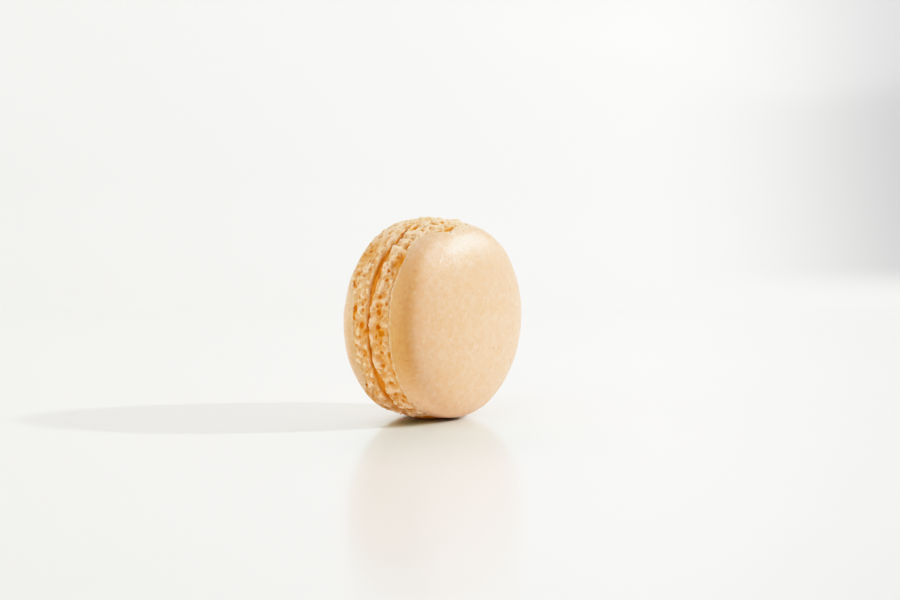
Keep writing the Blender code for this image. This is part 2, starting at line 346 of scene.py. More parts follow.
# Camera: its place in metres, the way it looks, its film's width and its lens in mm
CAMERA_PLACE = (-0.39217, -0.30435, 0.07496)
CAMERA_HEADING = radians(52.574)
CAMERA_DIP = radians(5.498)
CAMERA_FILM = 36.0
CAMERA_LENS = 86.55
CAMERA_NEAREST = 0.01

# Studio: a pale table that turns up into a wall behind the cookie, and a soft room
FLOOR_BEHIND = 0.234
FLOOR_BEFORE = 1.2
FLOOR_HALF_WIDTH = 1.3
COVE_RADIUS = 0.15
WALL_HEIGHT = 0.75
ROOM_SIDE_AZIMUTH = radians(-97.6)
ROOM_SIDE = 5.15
ROOM_ABOVE = 1.68
ROOM_SEEN = 3.0

# Lamps: (name, shape, azimuth and elevation in degrees, distance, width, height, power, in which rays
# it is left out). A long window and a wide one shine in the dome for the key light.
LAMPS = (
    ("key_light", "DISK", 39, 29.5, 0.6, 0.03, 0.03, 7.3, ("glossy",)),
    ("gleam", "RECTANGLE", 51, 31.8, 0.6, 0.3, 0.055, 5.8, ("diffuse",)),
    ("haze", "SQUARE", 8, 58, 0.6, 0.38, 0.38, 4.0, ("diffuse",)),
    ("soft_light", "SQUARE", -137.6, 12, 0.5, 0.3, 0.3, 0.6, ()),
)

# Painted shade: the wall darkens far to the right, from where to where, and from what height on
WALL_SHADE_ASIDE = (0.07, 0.2)
WALL_SHADE_HEIGHT = (0.0, 0.012)

# Painted shade on the table, which only the camera sees: faint painted shade and reflection of the cookie
# for some way before it, and deep painted shade where it stands: (middle, half size, how strong, colour)
PAINTED_SHADE_AND_REFLECTION = ((-22 * MM, -18 * MM, 0), (54 * MM, 54 * MM, 1), 0.345, (0.38, 0.63, 0.57, 1.0))
PAINTED_CONTACT_SHADE = ((-9.6 * MM, -0.7 * MM, 0), (15 * MM, 8.5 * MM, 1), 0.7, (0.03, 0.15, 0.0, 1.0))

# How film answers light: dark tones deepen, bright ones roll off below white
FILM_SPEED = 0.667
FILM_CONTRAST = 1.527
FILM_WHITE = 4.0
FILM_POINTS = 16
FILM_POINTS_CROWD = 1.5

# What differs between the two shells: (front, back)
SHELLS = {
    "name": ("front", "back"),
    "side": (-1, 1),
    "seed": (3, 8),
    "dome_height": (9.6 * MM, 7.4 * MM),
    # Where the crust flaked off (angle, half spread in degrees), how far up it is gone, how deep the
    # crumb lies there, and how far it runs on under the crust
    "flakes": (((98, 25),), ((128, 46), (243, 31))),
    "flake_reach": (4.2 * MM, 2.4 * MM),
    "flake_depth": (0.25 * MM, -0.04 * MM),
    "flake_run": (1.2 * MM, 0.9 * MM),
    # The crust's edge: its thickness, how far it hangs over the foot, how far it lifts
    "edge_thickness": (0.42 * MM, 0.24 * MM),
    "overhang": (0.3 * MM, 0.45 * MM),
    "edge_lift": (0.1 * MM, 0.02 * MM),
    # The tuck under the edge: its length, its depth, and how much deeper it opens in places
    "tuck_out": (0.45 * MM, 0.25 * MM),
    "tuck_depth": (0.05 * MM, 0.02 * MM),
    "tuck_opening": (0.4 * MM, 0.06 * MM),
    # The lip: how round it is, how far it opens in places, and from what depth on it is orange, partly
    # painted shade
    "lip_curl": (0.3 * MM, 1.3 * MM),
    "lip_opening": (0.2 * MM, 0.3 * MM),
    "seam_stain_from": (0.45 * MM, 0.05 * MM),
    # How orange its pits are where they are moist
    "moist_most": (1.2, 1.0),
    # How brown the crust is, with painted shade, round where up from its edge and how widely, and how pale
    # its rim is as a painted highlight
    "toast": (1.0, 0.5),
    "toast_middle": (2.4 * MM, 0.0),
    "toast_width": (3.7 * MM, 2 * MM),
    "pale_rim": (0.8, 0.5),
    "shown_pits": (FRONT_SHOWN_PITS, BACK_SHOWN_PITS),
    "dents": (FRONT_DENTS, BACK_DENTS),
}


class Shell:
    """One shell's own sizes and forms, and its dome's outline by distance walked from the rim."""

    def __init__(self, which):
        for name, values in SHELLS.items():
            setattr(self, name, values[which])
        self.shift = self.seed * SEED_STEP
        climb = np.linspace(0, pi / 2, DOME_SAMPLES)
        self.radius = CRUST_RADIUS * np.cos(climb) ** (2 / DOME_ROUND)
        self.height = self.dome_height * np.sin(climb) ** (2 / DOME_FLAT)
        self.radius[-1] = 0.0
        self.climb = climb
        steps = np.hypot(np.diff(self.radius), np.diff(self.height))
        self.walk = np.concatenate(([0.0], np.cumsum(steps)))

    def dome(self, angle, walk):
        """(out, radius, slope out, slope radius) of the crust's surface; the slopes are its normal's."""
        radius = np.interp(walk, self.walk, self.radius)
        height = np.interp(walk, self.walk, self.height)
        climb = np.interp(walk, self.walk, self.climb)
        start = rim_out(self, angle)
        out = start + height * (1 + (RIM_OUT - start) / self.dome_height)
        below, above = walk - DOME_SLOPE_STEP, walk + DOME_SLOPE_STEP
        normal_out = np.interp(below, self.walk, self.radius) - np.interp(above, self.walk, self.radius)
        normal_radius = np.interp(above, self.walk, self.height) - np.interp(below, self.walk, self.height)
        size = np.hypot(normal_out, normal_radius)
        here = around(angle, radius, self.side * out)
        swell = lumps(here, DOME_LUMP, self) * np.cos(climb)
        return out, radius + swell * relief_share(angle), normal_out / size, normal_radius / size


def angle_past(a, b):
    """How far the angle a lies past b, from minus half a turn to half a turn."""
    return (a - b + pi) % TURN - pi


def angle_between(a, b):
    return np.abs(angle_past(a, b))


def smooth_step(x):
    x = np.clip(x, 0.0, 1.0)
    return x * x * (3 - 2 * x)


def bell(x, width, power=2):
    """1 where x is 0, fading to both sides."""
    return np.exp(-((x / width) ** power))


def stretch_share(angle, middle, spread, steepness=1.0):
    """1 in the middle of a stretch given in degrees, 0 where it ends, smooth between."""
    away = angle_between(angle, radians(middle)) / radians(spread)
    return smooth_step(steepness * (1 - away))


def around(angle, radius, out=0.0):
    """Points of the cookie as the noise below reads them: axis along the third coordinate."""
    angle, radius, out = np.broadcast_arrays(angle, radius, out)
    return np.stack((radius * np.cos(angle), radius * np.sin(angle), out), axis=-1)


def lumps(points, layer, shell=None):
    """Smooth unevenness of a layer at these points, to both sides, each shell's in its own way."""
    height, size, seed = layer
    scaled = points / size + (shell.shift if shell else 0.0) + np.asarray(seed)
    values = [noise.noise(p) for p in scaled.reshape(-1, 3).tolist()]
    return height * np.array(values).reshape(points.shape[:-1])


def relief_share(angle):
    away = angle_between(angle, TABLE_ANGLE) - TABLE_HALF_SPREAD
    return smooth_step(away / TABLE_FADE)


def flake_share(shell, angle):
    shares = [stretch_share(angle, *flake, FLAKE_END_STEEPNESS) for flake in shell.flakes]
    return np.max(shares, axis=0)


def rim_out(shell, angle):
    """How far out the crust's edge lies."""
    return RIM_OUT + lumps(around(angle, CRUST_RADIUS), EDGE_WAVE, shell)


def lip_out(shell, angle):
    """How far out the lip lies, with the seam's course, its openings and its gapes."""
    here = around(angle, CRUST_RADIUS)
    wander = lumps(here, SEAM_WANDER)
    for middle, spread, bend in SEAM_BENDS:
        wander = wander - bend * MM * stretch_share(angle, middle, spread)
    opening = shell.lip_opening * np.maximum(lumps(here, LIP_OPENING, shell), 0.0)
    for middle, spread, *gapes in SEAM_GAPES:
        gape = gapes[shell.side > 0] * MM
        opening = opening + gape * stretch_share(angle, middle, spread)
    return LIP_GAP + opening + shell.side * wander


def large_pits(shell):
    """(angle, across, half length, half width, depth) of the large pits, one in each of equal steps.

    The -X side is left out, as it has pits of its own.
    """
    draw = random.Random(shell.seed)
    step = TURN / PITS_PER_FOOT
    pits = []
    for k in range(PITS_PER_FOOT):
        angle = (k + draw.uniform(-PIT_STEP_SCATTER, PIT_STEP_SCATTER)) * step
        across = PIT_ROWS[k % len(PIT_ROWS)] + draw.uniform(-PIT_SCATTER, PIT_SCATTER)
        size = draw.random()
        radius, depth = (least + size * (most - least) for least, most in (PIT_RADIUS, PIT_DEPTH))
        if not SHOWN_FROM < angle < SHOWN_TO:
            pits.append((angle, across, radius, radius, depth * LARGE_PIT_SHARE))
    return pits


def to_metres(spots):
    """Pits or dents with the angle in radians and the length, width and depth in metres."""
    return [
        (radians(angle), across, length * MM, width * MM, depth * MM, *share)
        for angle, across, length, width, depth, *share in spots
    ]


def fine_pits(shell, count, least, largest, place):
    """Small broken bubbles, most of them near the least radius. Place draws (angle, across)."""
    draw = random.Random(100 * shell.seed + count)
    pits = []
    for _ in range(count):
        angle, across = place(shell, draw)
        radius = least + (largest - least) * draw.random() ** 2
        stretch = draw.uniform(*FINE_PIT_VARIETY)
        depth = radius * draw.uniform(*FINE_PIT_VARIETY)
        pits.append((angle, across, radius * stretch, radius / stretch, depth))
    return pits


def on_band(shell, draw):
    angle = draw.uniform(0, TURN)
    across = draw.gauss(FINE_PIT_ACROSS, FINE_PIT_SCATTER)
    return angle, min(max(across, FINE_PIT_LEAST_ACROSS), 1.0)


def on_flake(shell, draw):
    middle, spread = draw.choice(shell.flakes)
    angle = radians(middle + draw.uniform(-1, 1) * spread)
    return angle, -draw.uniform(0.0, shell.flake_reach / BAND)


def offsets(angles, across, spot):
    """How far the grid's columns and rows lie from a pit or dent, in its half lengths and widths."""
    angle, place, half_length, half_width, *_ = spot
    along = angle_past(angles, angle) * CRUST_RADIUS / half_length
    return along, (across - place) * BAND / half_width


def carve(angles, across, warp, pits):
    """How deep the pits go over the grid of rows at these places across and columns at these angles."""
    depth = np.zeros((len(across), len(angles)))
    brim = np.zeros_like(depth)
    for pit in pits:
        along, over = offsets(angles, across, pit)
        columns = np.nonzero(np.abs(along) < PIT_REACH)[0]
        rows = np.nonzero(np.abs(over) < PIT_REACH)[0]
        cell = np.ix_(rows, columns)
        x = along[columns] + warp[0][cell]
        y = over[rows][:, None] + warp[1][cell]
        apart = x * x + y * y
        bowl = pit[4] * np.clip(1 - apart, 0, 1) ** PIT_WALL
        depth[cell] = np.maximum(depth[cell], bowl)
        swell = PIT_BRIM * pit[4] * bell(np.sqrt(apart) - BRIM_MIDDLE, BRIM_WIDTH)
        brim[cell] = np.maximum(brim[cell], swell)
    return depth - brim * (depth < BRIM_LEAST_DEPTH)


def soft_dents(shell, angles, across):
    """How deep the soft dents go over the grid, and how orange they are."""
    depth = np.zeros((len(across), len(angles)))
    orange = np.zeros_like(depth)
    for spot in to_metres(shell.dents):
        along, over = offsets(angles, across, spot)
        dent = np.exp(-(along**2 + over[:, None] ** 2))
        depth += spot[4] * dent
        orange += spot[5] * dent
    return depth, orange


def smeared(grid, blur):
    """The grid blurred over this many rows and columns each way. Columns go round."""
    rows, columns = blur
    for _ in range(2):
        shifts = range(-columns, columns + 1)
        grid = sum(np.roll(grid, k, axis=1) for k in shifts) / len(shifts)
        padded = np.pad(grid, ((rows, rows), (0, 0)), mode="edge")
        spans = range(2 * rows + 1)
        grid = sum(padded[k : k + len(grid)] for k in spans) / len(spans)
    return grid


def pit_stain_and_shade(pits):
    """How orange the pits make the crumb, as stain and painted shade: most in their floors, a little for
    some way round them.
    """
    floor = np.maximum(smeared(pits, FLOOR_BLUR), 0)
    halo = np.maximum(smeared(pits, HALO_BLUR), 0)
    stain = PIT_STAIN_AND_SHADE * (1 - np.exp(-floor / PIT_SHADE_DEPTH))
    return stain + HALO_STAIN_AND_SHADE * (1 - np.exp(-halo / HALO_SHADE_DEPTH))


def to_points(side, angle, out, radius):
    """Points in the part's frame, pressed flat where they would go into the table."""
    height = np.maximum(AXIS_HEIGHT + radius * np.sin(angle), 0.0)
    return np.stack((radius * np.cos(angle), SEAM_Y + side * out, height), axis=-1)


def skin(rings, first, last):
    """Vertices and faces of a closed surface over rings of points and a point at each end.

    Each ring has as many points as the one before it, or half as many.
    """
    faces = []

    def add_faces(*corners):
        faces.extend(np.stack(corners, axis=1).tolist())

    start = 1
    index = np.arange(len(rings[0]))
    add_faces(0 * index, start + index, start + np.roll(index, -1))
    for ring, following in zip(rings, rings[1:]):
        index = np.arange(len(following))
        beside = np.roll(index, -1)
        far = start + len(ring)
        if len(following) == len(ring):
            add_faces(start + index, far + index, far + beside, start + beside)
        else:
            middle = start + 2 * index + 1
            add_faces(start + 2 * index, far + index, middle)
            add_faces(middle, far + index, far + beside)
            add_faces(middle, far + beside, start + 2 * beside)
        start = far
    index = np.arange(len(rings[-1]))
    add_faces(start + index, 0 * index + start + len(index), start + np.roll(index, -1))
    return np.concatenate([[first], *rings, [last]]), faces


def into_scene(name, data):
    placed = bpy.data.objects.new(name, data)
    bpy.context.scene.collection.objects.link(placed)
    return placed


def to_object(name, vertices, faces, material):
    mesh = bpy.data.meshes.new(name)
    mesh.from_pydata(vertices.tolist(), [], faces)
    mesh.shade_smooth()
    mesh.materials.append(material)
    return into_scene(name, mesh)


def closed_piece(name, side, rings, start, end, material):
    """A smooth closed object over these rings, which ends on the axis this far out at each end."""
    first, last = to_points(side, 0.0, start, 0.0), to_points(side, 0.0, end, 0.0)
    vertices, faces = skin(rings, first, last)
    if side < 0:
        faces = [face[::-1] for face in faces]
    return to_object(name, vertices, faces, material)


def add_values(piece, name, rows):
    """Values for the mesh's points, row by row, and 0 for the point at each end."""
    values = np.concatenate([[0.0], *rows, [0.0]])
    layer = piece.data.attributes.new(name, "FLOAT", "POINT")
    layer.data.foreach_set("value", values.astype(np.float32))


def plain_edge(shell, flake):
    """How far up the dome the crust starts, before its chips."""
    return shell.flake_reach * flake - shell.overhang * (1 - flake)


def bareness(shell, angle, walk):
    """1 where the crumb lies bare this far up the dome, 0 where the crust covers it."""
    flake = flake_share(shell, angle)
    run = plain_edge(shell, flake) + shell.flake_run * flake + FLAKE_SINK * (1 - flake) - walk
    return smooth_step(run / FLAKE_SINK) * smooth_step(flake / FLAKE_START)


def foot_rows(shell, angle):
    """The foot before its relief, row by row from its flat face outwards.

    Each row is (across, out, radius, lean out, lean radius, relief share): the lean is the way in
    which the relief goes.
    """
    rim = rim_out(shell, angle)
    lip = lip_out(shell, angle)
    top = CRUST_RADIUS + LIP_FLARE
    rows = []

    # The slope behind the lip
    curl = shell.lip_curl
    rise = max(top - curl - FACE_RADIUS, FACE_LEAST_RISE)
    run = np.hypot(FACE_OUT - lip, rise)
    for t in np.linspace(0, 1, FACE_ROWS)[:-1]:
        across = FACE_ACROSS - FACE_ACROSS_RUN * t
        out = FACE_OUT + (lip - FACE_OUT) * t
        radius = top - curl - rise * (1 - t)
        lean = LIP_SIDEWAYS * -rise / run
        rows.append((across, out, radius, lean, (FACE_OUT - lip) / run, LIP_RELIEF * t))

    # Round the lip
    for turn in np.linspace(pi, pi / 2, LIP_ROWS)[:-1]:
        out = lip + curl * (1 + cos(turn))
        radius = top - curl * (1 - sin(turn))
        share = LIP_RELIEF + (1 - LIP_RELIEF) * sin(turn)
        across = 1 - (curl / BAND) * (1 + cos(turn))
        rows.append((across, out, radius, LIP_SIDEWAYS * cos(turn), sin(turn), share))

    # The band, down to the tuck below the crust
    for across in np.linspace(1 - curl / BAND, shell.tuck_out / BAND + BAND_END, BAND_ROWS):
        out = rim + (lip - rim) * across
        flare = LIP_FLARE * across**FLARE_CURVE
        radius = CRUST_RADIUS + flare + FOOT_BELLY * sin(pi * across)
        rows.append((across, out, radius, 0.0, 1.0, 1.0))
    band_radius = radius

    # The tuck, where there is crust, or on over the bare crumb where there is none
    opening = smooth_step(lumps(around(angle, CRUST_RADIUS), TUCK_OPENING, shell))
    tuck = shell.tuck_depth + shell.tuck_opening * opening
    start = band_radius - CRUST_RADIUS
    for t in np.linspace(0, 1, TUCK_ROWS)[1:]:
        walk = -shell.tuck_out * (1 - t)
        bare = bareness(shell, angle, walk)
        covered = max(1 - TUCK_FALL * t, 0) * (start + tuck) - tuck
        covered = covered - (UNDER_CRUST - tuck) * max(2 * t - 1, 0)
        open_rise = start - (start + shell.flake_depth) * t
        radius = CRUST_RADIUS + covered + (open_rise - covered) * bare
        share = bare + (1 - bare) * max(TUCK_RELIEF - TUCK_RELIEF_FADE * t, 0)
        rows.append((-walk / BAND, rim + walk, radius, 0.0, 1.0, share))

    # Under the crust, or bare
    for walk in np.linspace(0, UNDER_LENGTH, UNDER_ROWS + 1)[1:]:
        out, radius, lean_out, lean_radius = shell.dome(angle, walk)
        bare = bareness(shell, angle, walk)
        depth = UNDER_CRUST + (shell.flake_depth - UNDER_CRUST) * bare
        out = out - lean_out * depth
        radius = radius - lean_radius * depth
        rows.append((-walk / BAND, out, radius, lean_out, lean_radius, bare))
    return rows


def make_foot(shell, material):
    """The crumbly foot under the crust, its pits open and its lip ruffled."""
    angles = np.arange(FOOT_POINTS) / FOOT_POINTS * TURN
    rows = foot_rows(shell, angles)
    flat = np.zeros(FOOT_POINTS)
    across = np.array([row[0] for row in rows])
    out, radius, lean_out, lean_radius, share = (
        np.stack([flat + row[k] for row in rows]) for k in range(1, 6)
    )
    seam_depth = CRUST_RADIUS + LIP_FLARE - radius
    here = around(angles, radius, shell.side * out)
    growth = RUFFLE_AT_CRUST + (1 - RUFFLE_AT_CRUST) * np.clip(across, 0, 1)[:, None]
    flake = flake_share(shell, angles)
    pucker = smooth_step((across - PUCKER_FROM) / PUCKER_WIDTH)[:, None]
    pucker = PUCKER_AT_CRUST + (1 - PUCKER_AT_CRUST) * (pucker + (1 - pucker) * flake)
    form = growth * lumps(here, RUFFLE, shell) + pucker * lumps(here, PUCKER, shell)
    form *= 1 - FLAKE_CALM * smooth_step(1 - across / FLAKE_CALM_ACROSS)[:, None] * flake
    warp = [lumps(here, layer, shell) for layer in RAGGED]
    pits = large_pits(shell)
    for kind, place in ((POCKS, on_band), (PORES, on_band), (POCKS, on_flake)):
        pits += fine_pits(shell, *kind, place)
    shown_pits = to_metres(shell.shown_pits)
    fine = lumps(here, CRUMB, shell) + lumps(here, GRAIN, shell)
    fine -= carve(angles, across, warp, pits + shown_pits)
    dents, dents_orange = soft_dents(shell, angles, across)
    form -= dents
    fine *= 1 - DENT_CALM * np.clip(dents_orange, 0, 1)
    share = share * relief_share(angles)
    relief = (form + fine) * share
    out = out + lean_out * relief
    radius = radius + lean_radius * relief

    # Overhangs: the crumb also moves sideways a little
    sway = [share * lumps(here, layer, shell) for layer in SPREAD]
    angle = angles + sway[0] / CRUST_RADIUS
    out = out + sway[1]
    radius = radius + sway[2]
    points = to_points(shell.side, angle, out, radius)

    # Where it is hollow the crumb is moist and orange, partly painted shade; on its crests it is dry and
    # pale, partly a painted highlight
    below = smeared(relief, HOLLOW_BLUR) - relief
    moist = 1 - bell(angle_between(angles, DRY_ANGLE), DRY_SPREAD)
    far = smooth_step((angle_between(angles, SHOWN_ANGLE) - FAR_FROM) / FAR_FADE)
    moist *= 1 - FAR_DRYNESS * far
    hollow = pit_stain_and_shade(carve(angles, across, warp, pits)) + MOIST_ALL_OVER
    hollow += HOLLOW_STAIN_AND_SHADE * np.clip(below / HOLLOW_SHADE_DEPTH, 0, 1)
    hollow *= MOIST_LEAST + (shell.moist_most - MOIST_LEAST) * moist
    hollow += pit_stain_and_shade(carve(angles, across, warp, shown_pits)) + dents_orange
    hollow += TABLE_STAIN_AND_SHADE * (1 - relief_share(angles))
    in_seam = np.clip((seam_depth - shell.seam_stain_from) / SEAM_SHADE_FADE, 0, 1)
    hollow = np.maximum(hollow, np.where(across[:, None] > SEAM_ACROSS, in_seam, 0))
    crest = np.clip(1 - moist - below / CREST_HEIGHT, 0, 1)
    crest *= 1 - np.clip(DENT_DULL * dents_orange, 0, 1)

    piece = closed_piece(shell.name + "_foot", shell.side, list(points), FACE_OUT, RIM_OUT, material)
    add_values(piece, "hollow", np.clip(hollow, 0, 1))
    add_values(piece, "crest", crest)
    return piece


def crust_surface(shell, angle, walk):
    """(out, radius, lean out, lean radius) of the crust, also where it hangs on below the rim."""
    out, radius, lean_out, lean_radius = shell.dome(angle, np.maximum(walk, 0))
    below = np.minimum(walk, 0)
    roll = EDGE_ROLL * (below / shell.overhang) ** 2
    return out + below, radius - roll, lean_out, lean_radius


def crust_edge(shell, angles):
    """How far up the dome the crust starts: just below the rim, or high up where it flaked off."""
    flake = flake_share(shell, angles)
    here = around(angles, CRUST_RADIUS)
    chips = lumps(here, CHIP, shell) + lumps(here, FINE_CHIP, shell)
    return plain_edge(shell, flake) + chips * (1 + FLAKE_CHIPPING * flake) * relief_share(angles)


def make_crust(shell, material):
    """The smooth crust as a closed cap: its plain inner side, its chipped edge, its outer side."""
    rings = []
    browning_shades = []
    rim_highlights = []

    def add_ring(angles, edge, walk, depth):
        out, radius, lean_out, lean_radius = crust_surface(shell, angles, walk)
        spots = around(angles, radius, shell.side * out)
        rise = lumps(spots, PEEL, shell) + lumps(spots, PIMPLE, shell)
        rise += shell.edge_lift * bell(walk - edge, EDGE_LIFT_WIDTH) - depth
        rings.append(to_points(shell.side, angles, out + lean_out * rise, radius + lean_radius * rise))
        # Browning of the edge, with painted shade on the side that shows, which faces away from the key
        # lamp
        shown = bell(angle_between(angles, SHOWN_ANGLE), BROWNING_SHADE_SPREAD, 4)
        shown = BROWNING_SHADE_LEAST + (1 - BROWNING_SHADE_LEAST) * shown
        fade = bell(walk - edge - shell.toast_middle, shell.toast_width, 4)
        flush = FLUSH * bell(angle_between(angles, FLUSH_ANGLE), FLUSH_SPREAD)
        flush = flush * bell(walk - edge - FLUSH_MIDDLE, FLUSH_WIDTH)
        browning_shades.append(shell.toast * (shown * fade + flush))
        # Painted highlight along the crust's rim, in patches
        pale = shell.pale_rim * np.clip(EDGE_HIGHLIGHT_STRENGTH + lumps(spots, PALE_PATCHES, shell), 0, 1)
        rim_highlights.append(pale * bell(walk - edge, EDGE_HIGHLIGHT_WIDTH))

    angles = np.arange(CRUST_POINTS) / CRUST_POINTS * TURN
    edge = crust_edge(shell, angles)
    half = shell.edge_thickness / 2
    add_ring(angles, edge, edge + INNER_SIDE_RUN, INNER_SIDE_DEPTH * shell.edge_thickness)
    for turn in np.linspace(pi, 0, CRUST_RIM_ROWS):
        add_ring(angles, edge, edge + half * (1 - sin(turn)), half * (1 - cos(turn)))
    for t in np.linspace(0, 1, CRUST_EDGE_ROWS)[1:]:
        add_ring(angles, edge, edge + half + (CRUST_EDGE_WALK - edge - half) * t, 0.0)

    # On to the top, with half as many points whenever they crowd
    walk = CRUST_EDGE_WALK + CRUST_STEP
    while (radius := np.interp(walk, shell.walk, shell.radius)) > 2 * CRUST_STEP:
        if len(angles) % 2 == 0 and TURN * radius / len(angles) < CRUST_CROWDED * CRUST_STEP:
            angles = angles[::2]
            edge = edge[::2]
        add_ring(angles, edge, walk + 0 * angles, 0.0)
        walk += CRUST_STEP

    top = RIM_OUT + shell.dome_height
    piece = closed_piece(shell.name + "_crust", shell.side, rings, RIM_OUT, top, material)
    add_values(piece, "toast", browning_shades)
    add_values(piece, "rim", rim_highlights)
    return piece


def make_filling(front, back, material):
    """The filling between the flat faces. It bulges unevenly and sticks to both lips."""
    angles = np.arange(FILLING_POINTS) / FILLING_POINTS * TURN
    here = around(angles, FILLING_RADIUS)
    wave = lumps(here, FILLING_WAVE)
    near = lip_out(front, angles) + FILLING_GRIP
    far = lip_out(back, angles) + FILLING_BACK_GRIP
    rings = []
    for turn in np.linspace(-pi / 2, pi / 2, FILLING_ROWS):
        reach = cos(turn) ** FILLING_BULGE
        share = 0.5 + 0.5 * sin(turn)
        out = (far * share - near * (1 - share)) * reach + FILLING_HALF * sin(turn) * (1 - reach)
        height = FILLING_RADIUS - FILLING_HIDDEN + wave + FILLING_CLIMB * (share - FILLING_CLIMB_FROM)
        radius = FILLING_HIDDEN + height * reach
        spots = around(angles, radius, out)
        radius = radius + lumps(spots, FILLING_RIPPLE)
        rings.append(to_points(1, angles, out, np.minimum(radius, AXIS_HEIGHT)))
    return closed_piece("filling_layer", 1, rings, -FILLING_HALF, FILLING_HALF, material)


def new_group(name, inputs, outputs):
    """An empty shader node group with these sockets, what it is given, and its result's node."""
    group = bpy.data.node_groups.new(name, "ShaderNodeTree")
    for kind, entries in (("INPUT", inputs), ("OUTPUT", outputs)):
        for key, value in entries.items():
            group.interface.new_socket(name=key, in_out=kind, socket_type="NodeSocket" + value)
    return group, group.nodes.new("NodeGroupInput").outputs, group.nodes.new("NodeGroupOutput")


def fill_inputs(node, values):
    """Sets inputs of a shader node to values, or joins them to sockets of others."""
    for key, value in values.items():
        if isinstance(value, bpy.types.NodeSocket):
            node.id_data.links.new(value, node.inputs[key])
        else:
            node.inputs[key].default_value = value


def set_finish(node, **values):
    """Fills the node's inputs. Their names are written with underscores."""
    fill_inputs(node, {name.replace("_", " "): value for name, value in values.items()})


def add_node(tree, kind, values=None, **settings):
    """The outputs of a new shader node with these settings and inputs."""
    node = tree.nodes.new("ShaderNode" + kind)
    for key, value in settings.items():
        setattr(node, key, value)
    fill_inputs(node, values or {})
    return node.outputs


def maths(tree, operation, first, second):
    return add_node(tree, "Math", {0: first, 1: second}, operation=operation)[0]


def times(tree, first, second):
    return maths(tree, "MULTIPLY", first, second)


def blend_colours(tree, share, first, second, way="MIX"):
    inputs = {"Factor": share, 6: first, 7: second}
    return add_node(tree, "Mix", inputs, data_type="RGBA", blend_type=way)[2]


def ramp(tree, value, low, high):
    """0 up to low, 1 from high on, smooth between."""
    inputs = {"Value": value, "From Min": low, "From Max": high}
    return add_node(tree, "MapRange", inputs, interpolation_type="SMOOTHSTEP")["Result"]


def between(tree, share, low, high):
    """From low where the share is 0 to high where it is 1."""
    return add_node(tree, "MapRange", {"Value": share, "To Min": low, "To Max": high})["Result"]


def clouds(tree, place, scale, detail):
    """Soft noise, as a share and as a colour."""
    return add_node(tree, "TexNoise", {"Vector": place, "Scale": scale, "Detail": detail})


def almond_specks_group():
    """Ground almond in the batter: soft blotches, pale grains and a few toasted ones."""
    colours = {"Ground": "Color", "Pale": "Color", "Toasted": "Color"}
    inputs = {"Vector": "Vector", **colours, "Grain Scale": "Float", "Strength": "Float"}
    group, given, result = new_group("almond_specks", inputs, {"Color": "Color", "Grains": "Float"})
    place = given["Vector"]
    scale = given["Grain Scale"]
    strength = given["Strength"]

    # Soft blotches, a few millimetres wide
    cloud = clouds(group, place, times(group, scale, 0.16), detail=3.0)
    blotch = ramp(group, cloud["Fac"], low=0.35, high=0.7)
    blotch = times(group, blotch, times(group, strength, 0.35))
    tone = blend_colours(group, blotch, given["Ground"], given["Toasted"])

    # Mottling about as wide as a crumb, pale here and toasted there
    mottle = clouds(group, place, times(group, scale, 0.75), detail=2.0)
    soft = times(group, strength, 0.5)
    for colour, high in (("Pale", 0.68), ("Toasted", 0.33)):
        patch = ramp(group, mottle["Fac"], low=0.5, high=high)
        tone = blend_colours(group, times(group, patch, soft), tone, given[colour])

    # Grains: only some of the cells hold one
    bent = clouds(group, place, scale, detail=2.0)["Color"]
    nudge = add_node(group, "VectorMath", {0: bent, 3: 0.5 * MM}, operation="SCALE")[0]
    spot = add_node(group, "VectorMath", {0: place, 1: nudge}, operation="ADD")[0]
    cells = add_node(group, "TexVoronoi", {"Vector": spot, "Scale": scale})
    draw = add_node(group, "SeparateColor", {"Color": cells["Color"]})
    inside = ramp(group, cells["Distance"], low=0.6, high=0.1)
    grains = {}
    for colour, channel in (("Pale", "Red"), ("Toasted", "Green")):
        cell = times(group, inside, ramp(group, draw[channel], low=0.7, high=1.0))
        grains[colour] = times(group, cell, strength)
        tone = blend_colours(group, grains[colour], tone, given[colour])
    set_finish(result, Color=tone, Grains=grains["Pale"])
    return group


def crumb_grain_group():
    """Height of fine baked grain: sharp crumbs with pin-holes between them."""
    inputs = {"Vector": "Vector", "Grain Scale": "Float", "Pinholes": "Float"}
    group, given, result = new_group("crumb_grain", inputs, {"Height": "Float"})
    place = given["Vector"]
    scale = given["Grain Scale"]
    rough = add_node(
        group, "TexNoise", {"Vector": place, "Scale": scale, "Detail": 4.0, "Roughness": 0.6}
    )
    cells = add_node(group, "TexVoronoi", {"Vector": place, "Scale": scale})
    hole = ramp(group, cells["Distance"], low=0.3, high=0.12)
    draw = add_node(group, "SeparateColor", {"Color": cells["Color"]})
    some = ramp(group, draw["Blue"], low=0.5, high=0.7)
    hole = times(group, hole, times(group, some, given["Pinholes"]))
    set_finish(result, Height=maths(group, "SUBTRACT", rough["Fac"], hole))
    return group


def new_material(name):
    """A material, its tree, its Principled BSDF, and the place on what it covers."""
    material = bpy.data.materials.new(name)
    material.use_nodes = True
    tree = material.node_tree
    return material, tree, tree.nodes["Principled BSDF"], add_node(tree, "TexCoord")["Object"]


def place_group(tree, group, **values):
    """The outputs of a node with the group in it."""
    node = tree.nodes.new("ShaderNodeGroup")
    node.node_tree = group
    set_finish(node, **values)
    return node.outputs


def speckled_material(name, specks, **values):
    """The same as new_material, and the outputs of its specks."""
    material, tree, shader, place = new_material(name)
    return material, tree, shader, place, place_group(tree, specks, Vector=place, **values)


def value_of(tree, name):
    """What the mesh's points hold under this name."""
    return add_node(tree, "Attribute", attribute_name=name)["Fac"]


